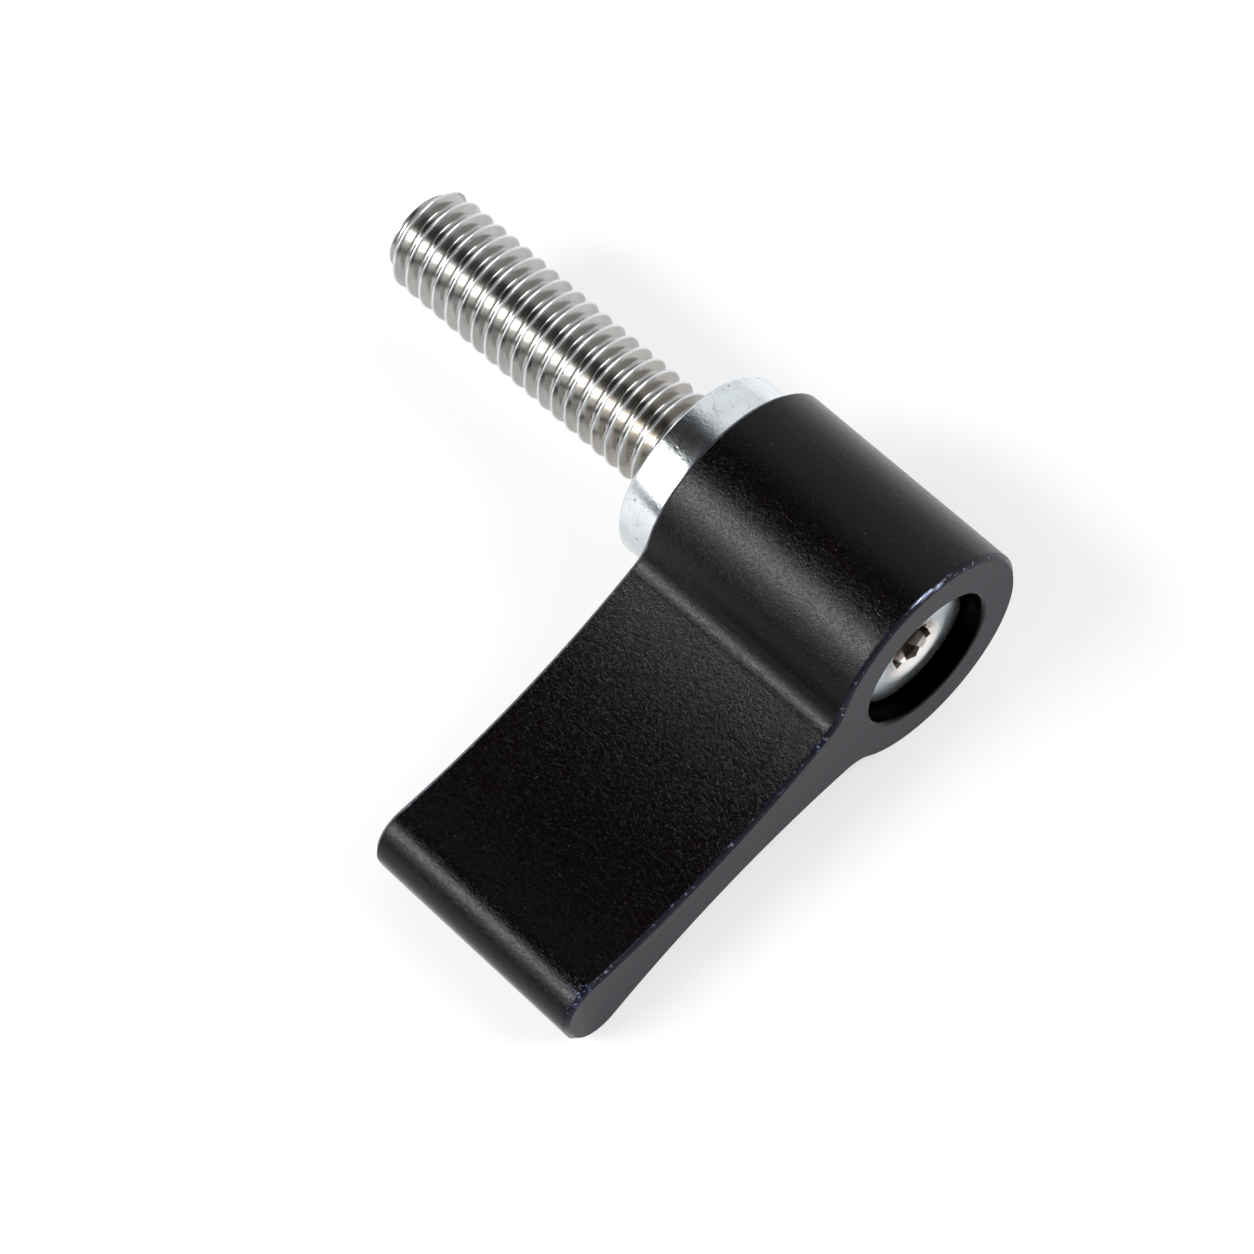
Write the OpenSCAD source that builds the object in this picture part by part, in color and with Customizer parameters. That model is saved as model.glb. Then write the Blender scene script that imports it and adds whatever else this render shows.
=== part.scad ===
// Thumb screw with a ratchet lever.
// The lever carries internal teeth that mesh with a toothed insert. A spring holds it down on
// the insert's collar. Pulled along the screw's axis, the lever leaves the teeth, turns freely
// and can be let down again in another place. The stud below the collar takes the thread.
// The screw lies on a table, on its hub and on the end of its arm. Its axis is X, with the
// free face of the collar at the origin and the stud towards -X.

/* [Lever] */
// Diameter of the round hub
hub_d = 13; // [12:0.5:18]
// Size of the lever along the screw's axis
lever_w = 14; // [12:0.5:20]
// Distance from the screw's axis to the end of the arm
arm_reach = 26; // [24:0.5:34]
// Thickness of the arm at its waist
waist_t = 3.6; // [2.6:0.2:5]
// Distance from the screw's axis to the waist
waist_at = 15.5; // [13:0.5:18]
// Radius of the hollow flanks of the arm
flank_r = 40; // [32:1:60]
// Radius of the corner between the hub and the arm
neck_r = 1.9; // [1:0.1:4]
// Radius of the two corners at the end of the arm
tip_corner_r = 2.1; // [1.2:0.1:2.2]
// Radius of the bowed end of the arm
tip_end_r = 10; // [8:0.5:14]
// Width of the broken edges round both faces
edge_break = 0.3; // [0.1:0.05:0.6]

/* [Bore of the lever] */
// Diameter of the bore that is open at the outer face
bore_d = 8; // [7.8:0.1:9]
// Width of the broken edge at the bore's mouth
mouth_break = 0.25; // [0.1:0.05:0.5]
// Thickness of the shoulder that the spring presses on
shoulder_t = 1.2; // [0.8:0.1:2]

/* [Serration] */
// Number of teeth
tooth_count = 24; // [12:12:36]
// Diameter over the insert's teeth
serration_d = 9.6; // [9:0.1:10.4]
// Height of a tooth
tooth_h = 0.6; // [0.3:0.05:0.8]
// Length of the teeth along the axis
tooth_len = 3; // [2:0.1:3.6]
// Chamfer at the free end of the insert's teeth
tooth_lead = 0.35; // [0.1:0.05:0.6]

/* [Insert] */
// Diameter of the collar
collar_d = 11.2; // [10.6:0.1:12]
// Height of the collar
collar_h = 2.6; // [1.6:0.1:5]
// Width of the collar's broken edges
collar_break = 0.25; // [0.1:0.05:0.5]
// Diameter of the sleeve that guides the lever
sleeve_d = 6; // [5.6:0.1:6.4]

/* [Stud] */
// Diameter over the thread
stud_d = 5.9; // [5.4:0.1:6.4]
// Length below the collar
stud_len = 20.5; // [8:0.5:40]
// Chamfer at the tip
stud_lead = 0.6; // [0.3:0.05:1]
// Diameter of the plain end that is pressed into the insert
spigot_d = 4.6; // [4:0.1:5]
// Length of that plain end
spigot_len = 5; // [3:0.1:5.4]

/* [Retaining screw] */
// Diameter of the head
head_d = 7.4; // [6.8:0.1:7.5]
// Height of the head without its dome
head_h = 1.6; // [1.2:0.1:2.2]
// Height of the dome
dome_h = 0.3; // [0.2:0.05:0.6]
// Chamfer between the head's side and its dome
head_break = 0.1; // [0.1:0.05:0.6]
// Depth of the head's rim below the lever's outer face
head_depth = 1.2; // [0.6:0.1:2]
// Size of the hexagon socket across its flats
socket_af = 2.5; // [2:0.1:3]
// Depth of the socket
socket_depth = 1.3; // [0.8:0.1:1.4]
// Diameter of the socket's countersunk mouth
socket_mouth_d = 3.6; // [3.5:0.1:4.4]
// Diameter of the shank
shank_d = 4; // [3:0.1:4.2]
// Length of the shank
shank_len = 6; // [4:0.1:6.4]

/* [Spring] */
// Diameter of the wire
wire_d = 0.5; // [0.3:0.05:0.6]
// Number of turns, with one closed turn at each end
turns = 5.5; // [4:0.5:6]

/* [Fits] */
// Gap between the insert's teeth and the lever's, along a radius
tooth_gap = 0.1; // [0.05:0.01:0.15]
// Gap round the sleeve in the lever's shoulder
running_gap = 0.05; // [0.02:0.01:0.1]
// Gap between pieces that are screwed or pressed together
seat_gap = 0.02; // [0.01:0.01:0.05]
// Gap between the ends of the insert's teeth and the lever's shoulder
end_gap = 0.3; // [0.1:0.05:0.6]
// Gap between the lever's back face and the collar
face_gap = 0.02; // [0.01:0.01:0.1]
// Overlap of arcs that run into each other, so that they cross cleanly
blend = 0.004; // [0.002:0.001:0.01]

/* [Hidden] */
$fn = 96;
hub_r = hub_d / 2;
collar_r = collar_d / 2;
head_r = head_d / 2;
sleeve_r = sleeve_d / 2;

// Places along the axis, from the free face of the collar
back_z = collar_h + face_gap;
face_z = back_z + lever_w;
teeth_end_z = collar_h + tooth_len;
shoulder_z = teeth_end_z + end_gap;
chamber_z = shoulder_z + shoulder_t;
rim_z = face_z - head_depth;
seat_z = rim_z - head_h;

// Centres of the arcs of the lever's outline: flank, neck, end and corner of the end
centre = [0, 0];
flank_c = [waist_at, waist_t / 2 + flank_r];
neck_c = meet(centre, hub_r + neck_r - blend, flank_c, flank_r - neck_r + blend);
end_c = [arm_reach - tip_end_r, 0];
corner_c = meet(end_c, tip_end_r - tip_corner_r + blend, flank_c, flank_r + tip_corner_r - blend);

// Angle by which the arm leans down until its end meets the table
lean = asin((hub_r - tip_corner_r) / norm(corner_c)) - atan2(corner_c[1], corner_c[0]);

// Point at the distance r0 from c0 and r1 from c1, on the right of the way from c0 to c1
function meet(c0, r0, c1, r1) =
    let (d = norm(c1 - c0), u = (c1 - c0) / d, a = (r0 * r0 - r1 * r1 + d * d) / (2 * d))
    c0 + a * u + sqrt(r0 * r0 - a * a) * [u[1], -u[0]];

// Point at the distance r from a towards b
function along(a, b, r) = a + (b - a) * r / norm(b - a);

// The same points on the other side of the arm, in the opposite order
function mirrored(points) = [for (i = [len(points) - 1 : -1 : 0]) [points[i][0], -points[i][1]]];

// Outline of a serration, with narrow flats at the tips and the roots of its teeth
function serration(r_tip, count) = [
    for (i = [0 : count - 1], k = [[-0.4, 1], [-0.1, 0], [0.1, 0], [0.4, 1]])
    let (a = (i + k[0]) * 360 / count, r = r_tip - k[1] * tooth_h)
    r * [cos(a), sin(a)]
];

// Lays the screw on the table, from a frame with its axis along Z and its arm along X
module laid() {
    rotate([lean - 90, 0, 0]) rotate([0, 90, 0]) children();
}

// The same shape on both sides of the arm
module on_both_sides() {
    children();
    mirror([0, 1, 0]) children();
}

// Round solid of the lever's height with both ends broken
module disc(c, r) {
    translate([c[0], c[1], back_z])
    rotate_extrude()
    polygon([
        [0, 0], [r - edge_break, 0], [r, edge_break],
        [r, lever_w - edge_break], [r - edge_break, lever_w], [0, lever_w]
    ]);
}

// Round cutter through the lever that also breaks the edges that it leaves
module hollow(c, r) {
    far = r + 2 * edge_break;
    translate([c[0], c[1], back_z])
    rotate_extrude($fn = 256)
    polygon([
        [0, -edge_break], [far, -edge_break], [r, edge_break],
        [r, lever_w - edge_break], [far, lever_w + edge_break], [0, lever_w + edge_break]
    ]);
}

// Straight prism of the lever's height
module prism(points) {
    translate([0, 0, back_z])
    linear_extrude(lever_w) polygon(points);
}

// Arm between the hub and the end, with its hollow flanks and necks
module arm() {
    upper = [neck_c, along(flank_c, corner_c, flank_r - tip_corner_r / 4), corner_c];
    neck_x = along(flank_c, neck_c, flank_r)[0];
    difference() {
        union() {
            difference() {
                prism(concat([centre], upper, mirrored(upper)));
                on_both_sides() hollow(flank_c, flank_r);
            }
            prism([centre, neck_c, [neck_x, 0], [neck_c[0], -neck_c[1]]]);
        }
        on_both_sides() hollow(neck_c, neck_r);
    }
}

// Rounded end of the arm: two corners and the bow between them
module arm_end() {
    side = [along(end_c, corner_c, 1.2 * tip_end_r)];
    on_both_sides() disc(corner_c, tip_corner_r);
    intersection() {
        disc(end_c, tip_end_r);
        prism(concat([end_c], side, mirrored(side)));
    }
}

// Stepped bore: teeth below, a guide through the shoulder and a chamber for spring and head
module stepped_bore() {
    mouth_r = bore_d / 2;
    translate([0, 0, back_z - 1])
    linear_extrude(shoulder_z - back_z + 1)
    polygon(serration(serration_d / 2 + tooth_gap, tooth_count));
    translate([0, 0, back_z]) cylinder(r = sleeve_r + running_gap, h = lever_w);
    translate([0, 0, chamber_z]) cylinder(r = mouth_r, h = lever_w);
    translate([0, 0, face_z - mouth_break])
    cylinder(r1 = mouth_r, r2 = mouth_r + 2 * mouth_break, h = 2 * mouth_break);
}

module lever() {
    color([0.07, 0.07, 0.08])
    laid()
    difference() {
        union() {
            disc(centre, hub_r);
            arm();
            arm_end();
        }
        stepped_bore();
    }
}

// Collar, teeth and guide sleeve, turned from one bar
module insert() {
    tip_r = serration_d / 2;
    color([0.78, 0.8, 0.82])
    laid()
    difference() {
        union() {
            rotate_extrude()
            polygon([
                [0, 0], [collar_r - collar_break, 0], [collar_r, collar_break],
                [collar_r, collar_h - collar_break], [collar_r - collar_break, collar_h], [0, collar_h]
            ]);
            intersection() {
                linear_extrude(teeth_end_z) polygon(serration(tip_r, tooth_count));
                rotate_extrude()
                polygon([
                    [0, 0], [tip_r + 1, 0], [tip_r + 1, teeth_end_z - tooth_lead - 1],
                    [tip_r - tooth_lead, teeth_end_z], [0, teeth_end_z]
                ]);
            }
            cylinder(r = sleeve_r, h = seat_z);
        }
        translate([0, 0, -1]) cylinder(r = spigot_d / 2 + seat_gap, h = spigot_len + seat_gap + 1);
        translate([0, 0, seat_z - shank_len - seat_gap])
        cylinder(r = shank_d / 2 + seat_gap, h = shank_len + seat_gap + 1);
    }
}

// Stud with its plain end in the insert
module stud() {
    r = stud_d / 2;
    color([0.74, 0.73, 0.7])
    laid() {
        translate([0, 0, -stud_len])
        rotate_extrude()
        polygon([[0, 0], [r - stud_lead, 0], [r, stud_lead], [r, stud_len], [0, stud_len]]);
        translate([0, 0, -1]) cylinder(r = spigot_d / 2, h = spigot_len + 1);
    }
}

// Low domed head with a countersunk hexagon socket, on a plain shank
module retaining_screw() {
    top = head_h + dome_h;
    dome_r = (head_r * head_r + dome_h * dome_h) / (2 * dome_h);
    mouth_r = socket_mouth_d / 2;
    sink = mouth_r * tan(30);
    color([0.76, 0.78, 0.8])
    laid()
    translate([0, 0, seat_z])
    difference() {
        union() {
            intersection() {
                rotate_extrude()
                polygon([
                    [0, 0], [head_r, 0], [head_r, head_h - head_break],
                    [head_r - head_break - dome_h, top], [0, top]
                ]);
                translate([0, 0, top - dome_r]) sphere(dome_r, $fn = 180);
            }
            translate([0, 0, -shank_len]) cylinder(r = shank_d / 2, h = shank_len + 0.5);
        }
        translate([0, 0, top - socket_depth])
        rotate([0, 0, 30])
        cylinder(r = socket_af / 2 / cos(30), h = socket_depth + 1, $fn = 6);
        translate([0, 0, top - sink])
        cylinder(r1 = 0, r2 = 2 * mouth_r, h = 2 * sink);
    }
}

// Wire of the spring as rings of points along a helix that closes at both ends
module spring() {
    sides = 8;
    steps = 28;
    wire_r = wire_d / 2;
    coil_r = (sleeve_r + bore_d / 2) / 2;
    low = chamber_z + wire_r + seat_gap;
    high = seat_z - wire_r - seat_gap;
    closed = wire_d * 1.04;
    pitch = (high - low - 2 * closed) / (turns - 2);
    count = round(turns * steps);
    rings = [
        for (i = [0 : count])
        let (
            t = i / steps,
            z = low + min(t, 1) * closed + max(0, min(t, turns - 1) - 1) * pitch
                + max(0, t - turns + 1) * closed
        )
        for (k = [0 : sides - 1])
        let (b = 360 * k / sides, r = coil_r + wire_r * cos(b))
        [r * cos(360 * t), r * sin(360 * t), z + wire_r * sin(b)]
    ];
    sheath = [
        for (i = [0 : count - 1], k = [0 : sides - 1])
        let (a = i * sides + k, b = i * sides + (k + 1) % sides)
        [a, b, b + sides, a + sides]
    ];
    first = [for (k = [sides - 1 : -1 : 0]) k];
    last = [for (k = [0 : sides - 1]) count * sides + k];
    color([0.6, 0.6, 0.62])
    laid()
    polyhedron(rings, concat(sheath, [first, last]), convexity = 8);
}

lever();
insert();
stud();
retaining_screw();
spring();
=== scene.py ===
"""Looks of a thumb screw with a ratchet lever: thread, finishes, light and camera."""
import math

import bpy
import mathutils
import numpy as np
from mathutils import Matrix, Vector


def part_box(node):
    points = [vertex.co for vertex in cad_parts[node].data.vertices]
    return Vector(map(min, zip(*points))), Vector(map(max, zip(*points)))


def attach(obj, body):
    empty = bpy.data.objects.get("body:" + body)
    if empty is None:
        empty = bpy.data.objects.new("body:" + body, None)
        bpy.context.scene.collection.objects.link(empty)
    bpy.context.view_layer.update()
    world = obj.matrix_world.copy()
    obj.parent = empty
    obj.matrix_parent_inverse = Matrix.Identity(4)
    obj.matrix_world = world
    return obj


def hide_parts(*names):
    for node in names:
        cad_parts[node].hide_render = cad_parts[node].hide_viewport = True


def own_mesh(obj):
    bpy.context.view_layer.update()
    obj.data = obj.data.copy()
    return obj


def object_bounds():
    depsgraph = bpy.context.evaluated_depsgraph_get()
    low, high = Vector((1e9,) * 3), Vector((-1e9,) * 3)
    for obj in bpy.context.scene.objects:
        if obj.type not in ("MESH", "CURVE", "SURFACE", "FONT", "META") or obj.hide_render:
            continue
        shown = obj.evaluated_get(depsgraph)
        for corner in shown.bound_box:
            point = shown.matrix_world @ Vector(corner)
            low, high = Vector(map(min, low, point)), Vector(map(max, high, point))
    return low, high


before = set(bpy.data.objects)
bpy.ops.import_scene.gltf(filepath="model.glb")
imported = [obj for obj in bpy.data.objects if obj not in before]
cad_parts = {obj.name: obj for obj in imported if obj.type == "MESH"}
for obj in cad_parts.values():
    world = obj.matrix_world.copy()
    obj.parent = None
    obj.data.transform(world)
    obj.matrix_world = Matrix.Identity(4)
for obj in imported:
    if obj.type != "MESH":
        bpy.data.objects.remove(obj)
cad_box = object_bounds()

MM = 0.001
LEAN = math.radians(9.2994)     # angle by which the arm leans down to the table

# Thread, in millimetres: a rolled 60-degree profile with rounded crests and roots
PITCH = 1.0
CREST_ROUND = 0.07
ROOT_ROUND = 0.20
FLANK = math.radians(60)        # angle between a flank's normal and the radius
START = 0.44                    # place of a crest, where the arm points
AROUND = 240                    # steps round the thread
CREST_POINTS = 4                # points on half a crest
ROOT_POINTS = 5                 # points on half a root
SHOULDER = 0.0                  # where the thread meets the collar
LEAD = 0.6                      # chamfer at the tip
SPIGOT = 2.3                    # radius of the plain end in the insert

# Places along the screw's axis, in millimetres
FACE_X = 16.62                  # the lever's outer face
SOCKET_X = 15.2                 # just under the mouth of the hexagon socket

# Radii, in millimetres
BORE_WALL = 4.3                 # a little more than that of the lever's bore
SOCKET_LIP = 1.81               # outer edge of the chamfer round the hexagon socket
SOCKET_WALL = 1.47              # a little more than that of the hexagon's corners

# Centres of wear on the lever, in millimetres
HUB_WEAR = (FACE_X, 0.9, 6.4)
TIP_WEAR = (FACE_X, -24.5, -1.4)

# Spring, in millimetres
WIRE = 0.5
COIL = 3.5                      # radius of the wire's middle line
TURNS = 5.5
WIRE_SIDES = 12
STEPS_IN_TURN = 40
CLOSED_RISE = 1.04 * WIRE       # rise of the closed first and last turn

TABLE_HALF = 1.5                # half the table's side, in metres


# Node trees
class Nodes:
    """Short ways to build a node tree."""

    def __init__(self, tree):
        self.tree = tree
        tree.nodes.clear()

    def node(self, kind, inputs=None, **settings):
        made = self.tree.nodes.new(kind)
        for key, value in settings.items():
            setattr(made, key, value)
        for key, value in (inputs or {}).items():
            socket = made.inputs[key]
            if isinstance(value, bpy.types.NodeSocket):
                self.tree.links.new(value, socket)
            else:
                socket.default_value = value
        return made

    def math(self, operation, a, b=0.0):
        return self.node("ShaderNodeMath", {0: a, 1: b}, operation=operation).outputs[0]

    def vector(self, operation, a, b=(0, 0, 0)):
        """Vector and number that a vector operation gives."""
        return self.node("ShaderNodeVectorMath", {0: a, 1: b}, operation=operation).outputs

    def parts(self, vector):
        return self.node("ShaderNodeSeparateXYZ", {0: vector}).outputs

    def ramp(self, value, low, high, to_low=0.0, to_high=1.0):
        return self.node("ShaderNodeMapRange", {
            "Value": value, "From Min": low, "From Max": high, "To Min": to_low, "To Max": to_high,
        }, interpolation_type="SMOOTHSTEP").outputs["Result"]

    def noise(self, vector, scale, detail=3.0, roughness=0.5, distortion=0.0):
        return self.node("ShaderNodeTexNoise", {
            "Vector": vector, "Scale": scale, "Detail": detail, "Roughness": roughness,
            "Distortion": distortion,
        }).outputs["Fac"]

    def mix(self, factor, a, b):
        return self.node("ShaderNodeMix", {0: factor, 6: a, 7: b}, data_type="RGBA").outputs[2]

    def mix_vectors(self, factor, a, b):
        return self.node("ShaderNodeMix", {0: factor, 4: a, 5: b}, data_type="VECTOR").outputs[1]

    def bump(self, height, strength, distance, **more):
        inputs = {"Height": height, "Strength": strength, "Distance": distance, **more}
        return self.node("ShaderNodeBump", inputs).outputs["Normal"]

    def place(self):
        return self.node("ShaderNodeTexCoord").outputs["Object"]

    def radius(self, place):
        """Distance from the screw's axis."""
        return self.vector("LENGTH", self.vector("MULTIPLY", place, (0, 1, 1))[0])["Value"]

    def cells(self, place, scale):
        """Distance to the nearest of scattered points, and a number that is that point's own."""
        made = self.node("ShaderNodeTexVoronoi", {"Vector": place, "Scale": scale}, feature="F1")
        own = self.node("ShaderNodeSeparateColor", {0: made.outputs["Color"]}).outputs[0]
        return made.outputs["Distance"], own


def material(name):
    made = bpy.data.materials.new(name)
    made.use_nodes = True
    return made, Nodes(made.node_tree)


def rgb(r, g, b):
    return (r, g, b, 1.0)


def finish_with(nodes, shader):
    nodes.node("ShaderNodeOutputMaterial", {"Surface": shader})


# Materials
def black_anodised():
    """Blasted and anodised aluminium: a fine leathery grain, specks, and worn edges."""
    made, n = material("black_anodised")
    place = n.place()
    geometry = n.node("ShaderNodeNewGeometry").outputs
    # the flat end faces take their own normal, as long thin triangles would show in a smoothed one
    flat = n.ramp(n.math("ABSOLUTE", n.parts(geometry["True Normal"])[0]), 0.998, 0.999)
    smoothed = n.mix_vectors(flat, geometry["Normal"], geometry["True Normal"])
    facing = n.math("ABSOLUTE", n.parts(smoothed)[0])
    radius = n.radius(place)
    outside = n.ramp(radius, (BORE_WALL + 0.2) * MM, (BORE_WALL + 0.5) * MM)
    # only the broken edges turn from the flanks to the end faces
    edge = n.math("MULTIPLY", n.ramp(facing, 0.12, 0.45), n.ramp(facing, 0.98, 0.85))
    edge = n.math("MULTIPLY", edge, outside)
    end_face = n.ramp(facing, 0.97, 0.995)

    # short curling creases, as blasting and anodising leave them
    swirl = n.noise(place, 4000.0, 1.0, 0.5, 1.3)
    other = n.noise(place, 5600.0, 1.0, 0.5, 1.2)
    curls = n.math("ABSOLUTE", n.math("SUBTRACT", swirl, 0.5))
    curls = n.math("MINIMUM", curls, n.math("ABSOLUTE", n.math("SUBTRACT", other, 0.56)))
    curls = n.ramp(curls, 0.0, 0.10)
    grain = n.noise(place, 10000.0, 2.0, 0.5, 0.4)
    cloud = n.noise(place, 260.0, 3.0, 0.5)
    distance, rare = n.cells(place, 2600.0)
    speck = n.math("MULTIPLY", n.ramp(distance, 0.20, 0.08), n.ramp(rare, 0.90, 0.92))

    # bare streaks lie where the hub's edge is highest, the rest of the edges has rare scuffs
    away = n.vector("DISTANCE", place, tuple(MM * x for x in HUB_WEAR))["Value"]
    near = n.ramp(away, 1.9 * MM, 0.5 * MM)
    drawn = n.node("ShaderNodeMapping", {"Vector": place, "Scale": (3200.0, 750.0, 2600.0)}).outputs[0]
    streaks = n.ramp(n.noise(drawn, 1.0, 2.0, 0.5, 0.3), 0.47, 0.62)
    scuffs = n.math("MULTIPLY", n.ramp(n.noise(place, 3000.0, 3.0, 0.6), 0.60, 0.72), 0.45)
    wear = n.math("MULTIPLY", edge, n.math("MAXIMUM", n.math("MULTIPLY", near, streaks), scuffs))
    # violet specks where the arm's near corner has been knocked
    away = n.vector("DISTANCE", place, tuple(MM * x for x in TIP_WEAR))["Value"]
    knocked = n.math("MULTIPLY", n.ramp(away, 1.3 * MM, 0.4 * MM), outside)
    knocked = n.math("MULTIPLY", knocked, n.ramp(facing, 0.99, 0.9))
    knocked = n.math("MULTIPLY", knocked, n.ramp(n.noise(place, 5200.0, 3.0, 0.6), 0.54, 0.66))

    # painted shade: inside the lever's hole the colour is near black and the surface metallic, which dims
    # its reflections, in place of the shade in the narrow gap round the screw head
    painted_bore_shade = n.ramp(radius, BORE_WALL * MM, (BORE_WALL - 0.1) * MM)
    painted_bore_shade = n.math("MULTIPLY", painted_bore_shade, n.ramp(facing, 0.98, 0.85))
    base = n.mix(n.ramp(cloud, 0.35, 0.65), rgb(0.0013, 0.0006, 0.0006), rgb(0.0018, 0.0009, 0.0009))
    base = n.mix(painted_bore_shade, base, rgb(0.0002, 0.0001, 0.0001))
    base = n.mix(end_face, base, rgb(0.0042, 0.0037, 0.0080))
    base = n.mix(n.math("MULTIPLY", edge, 0.8), base, rgb(0.0044, 0.0041, 0.0135))
    base = n.mix(n.math("MULTIPLY", speck, 0.4), base, rgb(0.055, 0.042, 0.038))
    base = n.mix(wear, base, rgb(0.42, 0.47, 0.66))
    base = n.mix(n.math("MULTIPLY", knocked, 0.7), base, rgb(0.14, 0.15, 0.30))

    height = n.math("ADD", n.math("MULTIPLY", curls, 0.14), n.math("MULTIPLY", grain, 0.22))
    height = n.math("ADD", height, n.math("MULTIPLY", swirl, 0.55))
    strength = n.math("SUBTRACT", 1.0, n.math("MULTIPLY", end_face, 0.85))
    normal = n.bump(height, strength, 0.025 * MM, Normal=smoothed)
    rough = n.math("ADD", n.ramp(grain, 0.3, 0.7, 0.18, 0.24), n.math("MULTIPLY", end_face, 0.14))
    shader = n.node("ShaderNodeBsdfPrincipled", {
        "Base Color": base, "Roughness": rough, "Normal": normal,
        "Metallic": n.math("MAXIMUM", n.math("MULTIPLY", wear, 0.9), painted_bore_shade),
    })
    shader.inputs["IOR"].default_value = 1.26
    finish_with(n, shader.outputs[0])
    return made


def zinc(name, tint, low, high, pits, socket=False):
    """Bright zinc plating: bluish, slightly clouded, with small dark pits and hairlines."""
    made, n = material(name)
    place = n.place()
    cloud = n.noise(place, 420.0, 4.0, 0.6)
    fine = n.noise(place, 5200.0, 3.0, 0.6)
    distance, chance = n.cells(place, 2600.0)
    pit = n.ramp(distance, 0.30, 0.12)
    pit = n.math("MULTIPLY", pit, n.ramp(chance, 1.0 - pits, 1.0 - 0.8 * pits))
    crack = n.node("ShaderNodeTexVoronoi", {"Vector": place, "Scale": 900.0}, feature="DISTANCE_TO_EDGE")
    part = n.noise(place, 1300.0, 2.0, 0.5)
    hair = n.math("MULTIPLY", n.ramp(crack.outputs["Distance"], 0.03, 0.008), n.ramp(part, 0.60, 0.68))
    marks = n.math("MAXIMUM", pit, n.math("MULTIPLY", hair, 0.7 if pits else 0.0))
    dull = tuple(0.86 * x for x in tint)
    base = n.mix(n.ramp(cloud, 0.35, 0.7), rgb(*tint), rgb(*dull))
    speckle = n.noise(place, 7500.0, 2.0, 0.5)
    base = n.mix(n.ramp(speckle, 0.58, 0.72, 0.0, 0.45 if pits else 0.1), base, rgb(0.30, 0.32, 0.34))
    base = n.mix(n.math("MULTIPLY", marks, 0.7), base, rgb(0.16, 0.17, 0.19))
    if socket:
        radius = n.radius(place)
        # painted highlight: the chamfer round the socket is coloured lighter than the plating, in place
        # of the light it catches
        painted_lip_highlight = n.ramp(radius, (SOCKET_LIP + 0.03) * MM, (SOCKET_LIP - 0.03) * MM)
        inside = n.ramp(radius, (SOCKET_WALL + 0.03) * MM, (SOCKET_WALL - 0.03) * MM)
        sunk = n.ramp(n.parts(place)[0], (SOCKET_X + 0.10) * MM, (SOCKET_X - 0.05) * MM)
        inside = n.math("MULTIPLY", inside, sunk)
        base = n.mix(painted_lip_highlight, base, rgb(0.80, 0.765, 0.735))
        base = n.mix(inside, base, rgb(0.16, 0.13, 0.115))
    rough = n.math("ADD", n.ramp(cloud, 0.3, 0.7, low, high), n.math("MULTIPLY", marks, 0.05))
    height = n.math("SUBTRACT", n.math("MULTIPLY", fine, 1.2), n.math("MULTIPLY", marks, 0.4))
    normal = n.bump(height, 0.7, 0.012 * MM if pits else 0.006 * MM)
    shader = n.node("ShaderNodeBsdfPrincipled", {
        "Base Color": base, "Roughness": rough, "Normal": normal,
    })
    shader.inputs["Metallic"].default_value = 1.0
    finish_with(n, shader.outputs[0])
    return made


def stainless():
    """Rolled stainless steel: warm, bright, with fine marks that run round the thread."""
    made, n = material("stainless")
    place = n.place()
    squeezed = n.node("ShaderNodeMapping", {"Vector": place, "Scale": (14000.0, 900.0, 900.0)}).outputs[0]
    rings = n.noise(squeezed, 1.0, 3.0, 0.6)
    cloud = n.noise(place, 700.0, 3.0, 0.5)
    radius = n.radius(place)
    base = n.mix(n.ramp(cloud, 0.3, 0.7), rgb(0.44, 0.434, 0.416), rgb(0.38, 0.373, 0.354))
    # warmer towards the collar
    base = n.mix(n.ramp(n.parts(place)[0], -9 * MM, -1 * MM), base, rgb(0.385, 0.355, 0.31))
    # painted highlight and shade: the crests are coloured lighter, standing in for the bright lines they
    # catch, and the roots darker, standing in for the shade in the valleys
    base = n.mix(n.ramp(radius, 2.65 * MM, 2.35 * MM), base, rgb(0.385, 0.377, 0.362))
    base = n.mix(n.ramp(radius, 2.85 * MM, 2.91 * MM), base, rgb(0.68, 0.69, 0.69))
    rough = n.math("ADD", n.ramp(cloud, 0.3, 0.7, 0.15, 0.21), n.ramp(rings, 0.4, 0.8, 0.0, 0.08))
    shader = n.node("ShaderNodeBsdfPrincipled", {
        "Base Color": base, "Roughness": rough, "Normal": n.bump(rings, 0.4, 0.006 * MM),
    })
    shader.inputs["Metallic"].default_value = 1.0
    finish_with(n, shader.outputs[0])
    return made


def spring_steel():
    """Drawn wire with faint marks along it."""
    made, n = material("spring_steel")
    marks = n.noise(n.place(), 4000.0, 3.0, 0.6)
    base = n.mix(marks, rgb(0.50, 0.50, 0.52), rgb(0.62, 0.62, 0.63))
    shader = n.node("ShaderNodeBsdfPrincipled", {
        "Base Color": base, "Roughness": n.ramp(marks, 0.3, 0.7, 0.25, 0.4),
        "Normal": n.bump(marks, 0.3, 0.004 * MM),
    })
    shader.inputs["Metallic"].default_value = 1.0
    finish_with(n, shader.outputs[0])
    return made


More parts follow.
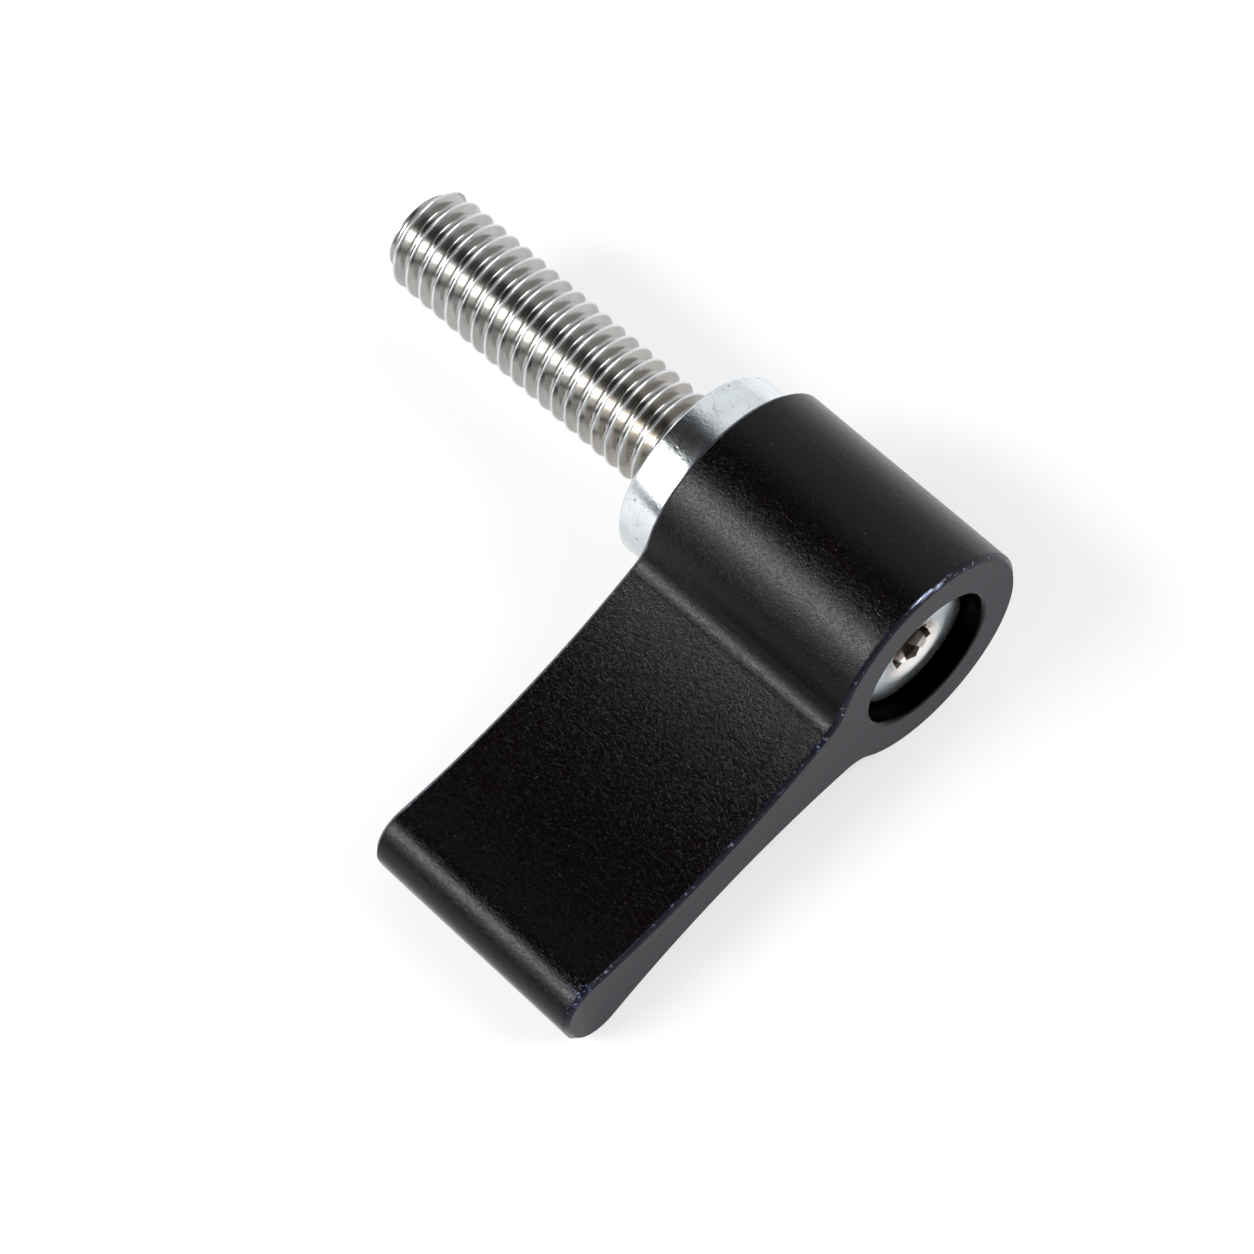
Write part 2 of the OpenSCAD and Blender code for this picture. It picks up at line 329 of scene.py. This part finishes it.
# Meshes
def mesh_object(name, points, faces, look):
    """A smooth mesh with flat caps, from points in millimetres; coinciding points are joined."""
    points = np.round(np.asarray(points, float), 6)
    order, index = np.unique(points, axis=0, return_inverse=True)
    index = index.reshape(-1)
    kept = []
    for face in faces:
        corners = []
        for k in face:
            v = int(index[k])
            if not corners or corners[-1] != v:
                corners.append(v)
        if len(corners) > 1 and corners[0] == corners[-1]:
            corners.pop()
        if len(set(corners)) == len(corners) and len(corners) > 2:
            kept.append(corners)
    mesh = bpy.data.meshes.new(name)
    mesh.from_pydata((order * MM).tolist(), [], kept)
    mesh.validate()
    mesh.polygons.foreach_set("use_smooth", [len(p.vertices) <= 4 for p in mesh.polygons])
    mesh.materials.append(look)
    made = bpy.data.objects.new(name, mesh)
    bpy.context.scene.collection.objects.link(made)
    return made


def thread_profile():
    """One pitch of the thread, from crest to crest: places along the axis and depths."""
    straight = 0.5 * PITCH - (CREST_ROUND + ROOT_ROUND) * math.sin(FLANK)
    depth = (CREST_ROUND + ROOT_ROUND) * (1 - math.cos(FLANK)) + straight * math.tan(FLANK)
    along, deep = [], []
    for a in np.linspace(0, FLANK, CREST_POINTS):
        along.append(CREST_ROUND * math.sin(a))
        deep.append(CREST_ROUND * (1 - math.cos(a)))
    for a in np.linspace(-FLANK, 0, ROOT_POINTS):
        along.append(0.5 * PITCH + ROOT_ROUND * math.sin(a))
        deep.append(depth - ROOT_ROUND * (1 - math.cos(a)))
    half = list(zip(along, deep))
    rest = [(PITCH - x, d) for x, d in half[-2:0:-1]]
    return np.array(half + rest)


def threaded_stud(look):
    """Stud with a true right-hand thread, a chamfered tip and its plain end in the insert."""
    low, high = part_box("stud")
    tip, end, r_crest = low.x / MM, high.x / MM, high.y / MM
    profile = thread_profile()
    wrapped = np.append(profile, [[PITCH, 0.0]], axis=0)
    rows_in_pitch = len(profile)
    # spare pitches past both ends, which the clip below takes back to the ends
    spare = 2
    first = math.floor(tip / PITCH) - spare
    count = (math.ceil(SHOULDER / PITCH) + spare - first) * rows_in_pitch
    turn = np.arange(AROUND) / AROUND
    k = np.arange(count)
    row_x = first * PITCH + (k // rows_in_pitch) * PITCH + profile[k % rows_in_pitch, 0]
    x = row_x[:, None] + START + turn[None, :] * PITCH
    x = np.clip(x, tip, SHOULDER)
    share = np.mod(x - START - turn[None, :] * PITCH, PITCH)
    r = r_crest - np.interp(share, wrapped[:, 0], wrapped[:, 1])
    r = np.minimum(r, r_crest - LEAD + (x - tip))
    angle = turn * 2 * math.pi + math.pi + LEAN
    y = r * np.cos(angle)[None, :]
    z = r * np.sin(angle)[None, :]
    points = np.stack([x, y, z], 2).reshape(-1, 3).tolist()
    faces = []
    for i in range(count - 1):
        for j in range(AROUND):
            a, b = i * AROUND + j, (i + 1) * AROUND + j
            if j + 1 < AROUND:
                c, d = b + 1, a + 1
            elif i + 1 + rows_in_pitch < count:
                c, d = (i + 1 + rows_in_pitch) * AROUND, (i + rows_in_pitch) * AROUND
            else:
                continue
            faces.append([a, d, c, b])
    # ring on the shoulder, plain end and both caps
    last = (count - 1) * AROUND
    rings = [last]
    for place in (SHOULDER, end):
        rings.append(len(points))
        points += [[place, SPIGOT * math.cos(a), SPIGOT * math.sin(a)] for a in angle]
    for one, two in zip(rings, rings[1:]):
        for j in range(AROUND):
            j2 = (j + 1) % AROUND
            faces.append([one + j, one + j2, two + j2, two + j])
    faces.append([rings[-1] + j for j in range(AROUND)])
    faces.append([j for j in range(AROUND - 1, -1, -1)])
    return mesh_object("threaded_stud", points, faces, look)


def coil_spring(look):
    """Compression spring with closed ends, as the part's own spring lies."""
    low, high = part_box("spring")
    start = low.x / MM + WIRE / 2
    stop = high.x / MM - WIRE / 2
    rise = (stop - start - 2 * CLOSED_RISE) / (TURNS - 2)
    count = round(TURNS * STEPS_IN_TURN)
    points, faces = [], []
    down = LEAN - math.pi / 2
    for i in range(count + 1):
        t = i / STEPS_IN_TURN
        x = start + min(t, 1) * CLOSED_RISE
        x += max(0, min(t, TURNS - 1) - 1) * rise + max(0, t - TURNS + 1) * CLOSED_RISE
        for k in range(WIRE_SIDES):
            b = 2 * math.pi * k / WIRE_SIDES
            r = COIL + WIRE / 2 * math.cos(b)
            u, v = r * math.sin(2 * math.pi * t), -r * math.cos(2 * math.pi * t)
            points.append([
                x + WIRE / 2 * math.sin(b),
                u * math.cos(down) - v * math.sin(down),
                u * math.sin(down) + v * math.cos(down),
            ])
    for i in range(count):
        for k in range(WIRE_SIDES):
            a, b = i * WIRE_SIDES + k, i * WIRE_SIDES + (k + 1) % WIRE_SIDES
            faces.append([a, b, b + WIRE_SIDES, a + WIRE_SIDES])
    faces.append(list(range(WIRE_SIDES - 1, -1, -1)))
    faces.append([count * WIRE_SIDES + k for k in range(WIRE_SIDES)])
    return mesh_object("coil_spring", points, faces, look)


# Materials and meshes put on the part
def round_off(node):
    """Shade the broken edges as rounded ones; corners sharper than 60 degrees stay sharp."""
    weld = node.modifiers.new("weld", "WELD")
    weld.merge_threshold = 0.002 * MM
    split = node.modifiers.new("split", "EDGE_SPLIT")
    split.split_angle = math.radians(60)
    weights = node.modifiers.new("weights", "WEIGHTED_NORMAL")
    weights.mode = "FACE_AREA"
    weights.weight = 90


LOOKS = {
    "lever": black_anodised(),
    "insert": zinc("zinc_plate", (0.73, 0.76, 0.78), 0.10, 0.22, 0.09),
    "retaining_screw": zinc("zinc_plate_fine", (0.64, 0.675, 0.69), 0.24, 0.32, 0.0, socket=True),
}
for name, look in LOOKS.items():
    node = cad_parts[name]
    node.data.materials.clear()
    node.data.materials.append(look)
    round_off(node)

stud = threaded_stud(stainless())
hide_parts("stud")
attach(stud, "screw")

spring = coil_spring(spring_steel())
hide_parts("spring")
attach(spring, "spring_ring")
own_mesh(spring)


# Table, surroundings and lights
def floor():
    """Pale table. The camera and mirrors see it lighter than it is, so that only soft shadows show."""
    mesh = bpy.data.meshes.new("table")
    corners = [(x * TABLE_HALF, y * TABLE_HALF, 0) for x, y in ((-1, -1), (1, -1), (1, 1), (-1, 1))]
    mesh.from_pydata(corners, [], [(0, 1, 2, 3)])
    made = bpy.data.objects.new("table", mesh)
    made.location = (0, 0, cad_box[0].z)
    bpy.context.scene.collection.objects.link(made)
    look, n = material("table")
    paint = n.node("ShaderNodeBsdfDiffuse", {"Color": rgb(0.88, 0.885, 0.895)}).outputs[0]
    white = n.node("ShaderNodeEmission", {"Color": rgb(0.995, 0.997, 1.0), "Strength": 1.015}).outputs[0]
    path = n.node("ShaderNodeLightPath").outputs
    mirrored = n.math("MAXIMUM", path["Is Glossy Ray"], path["Is Transmission Ray"])
    seen = n.math("MULTIPLY", path["Is Camera Ray"], 0.56)
    seen = n.math("MAXIMUM", seen, n.math("MULTIPLY", mirrored, 0.32))
    mixed = n.node("ShaderNodeMixShader", {0: seen, 1: paint, 2: white})
    finish_with(n, mixed.outputs[0])
    mesh.materials.append(look)


def surroundings():
    """White background, also in mirrors, and a slightly dimmer tent that lights the object."""
    world = bpy.data.worlds.new("tent")
    world.use_nodes = True
    bpy.context.scene.world = world
    n = Nodes(world.node_tree)
    ray = n.node("ShaderNodeTexCoord").outputs["Generated"]
    x, y, z = n.parts(ray)
    # a dark gap overhead, which metal mirrors as its dark band
    gap = n.vector("SUBTRACT", ray, (-0.38, -0.06, 0.92))[0]
    gap = n.vector("LENGTH", n.vector("MULTIPLY", gap, (0.55, 1.0, 0.8))[0])["Value"]
    shade = n.ramp(gap, 0.26, 0.60, 0.025, 1.0)
    # darker to the right, and a dark gap between the strip light and the table
    shade = n.math("MULTIPLY", shade, n.ramp(x, 0.0, 0.6, 1.0, 0.55))
    low = n.math("MULTIPLY", n.ramp(z, 0.02, 0.07), n.ramp(z, 0.26, 0.16))
    low = n.math("MULTIPLY", low, n.ramp(y, -0.4, -0.7))
    shade = n.math("MULTIPLY", shade, n.math("SUBTRACT", 1.0, n.math("MULTIPLY", low, 0.75)))
    path = n.node("ShaderNodeLightPath").outputs
    mirrored = n.math("MAXIMUM", path["Is Glossy Ray"], path["Is Transmission Ray"])
    level = n.math("MULTIPLY", shade, n.math("ADD", 0.82, n.math("MULTIPLY", mirrored, 0.18)))
    tent = n.node("ShaderNodeBackground", {"Color": rgb(0.945, 0.975, 1.0), "Strength": level}).outputs[0]
    white = n.node("ShaderNodeBackground", {"Color": rgb(1, 1, 1), "Strength": 1.0}).outputs[0]
    mixed = n.node("ShaderNodeMixShader", {0: path["Is Camera Ray"], 1: tent, 2: white})
    n.node("ShaderNodeOutputWorld", {"Surface": mixed.outputs[0]})


def soft_box(name, place, size, radiance, colour):
    """Rectangular light at a place in metres, facing the object."""
    data = bpy.data.lights.new(name, "AREA")
    data.shape = "RECTANGLE"
    data.size, data.size_y = size
    data.energy = radiance * math.pi * size[0] * size[1]
    data.color = colour
    made = bpy.data.objects.new(name, data)
    made.location = place
    z = made.location.normalized()
    x = mathutils.Vector((1, 0, 0))
    x = (x - z * x.dot(z)).normalized()
    y = z.cross(x)
    made.rotation_euler = mathutils.Matrix((x, y, z)).transposed().to_euler()
    made.visible_camera = False
    bpy.context.scene.collection.objects.link(made)


floor()
surroundings()
soft_box("strip", (-0.158, -0.285, 0.295), (0.26, 0.152), 12.3, (1.0, 0.984, 0.98))
soft_box("strip_edge", (-0.165, -0.329, 0.276), (0.30, 0.40), 1.35, (1.0, 0.99, 0.97))
soft_box("side", (0.31, 0.225, 0.32), (0.24, 0.24), 8.5, (0.96, 0.98, 1.0))


# Camera at the photograph's viewing angle
camera = bpy.data.objects.new("camera", bpy.data.cameras.new("camera"))
bpy.context.scene.collection.objects.link(camera)
camera.location = (0.096731, -0.072400, 0.216331)
camera.rotation_euler = tuple(math.radians(a) for a in (26.9518, 5.1198, 45.6169))
camera.data.sensor_width = 36.0
camera.data.lens = 138.57
camera.data.clip_start = 0.01
camera.data.clip_end = 10.0
bpy.context.scene.camera = camera
bpy.context.scene.view_settings.view_transform = "Standard"
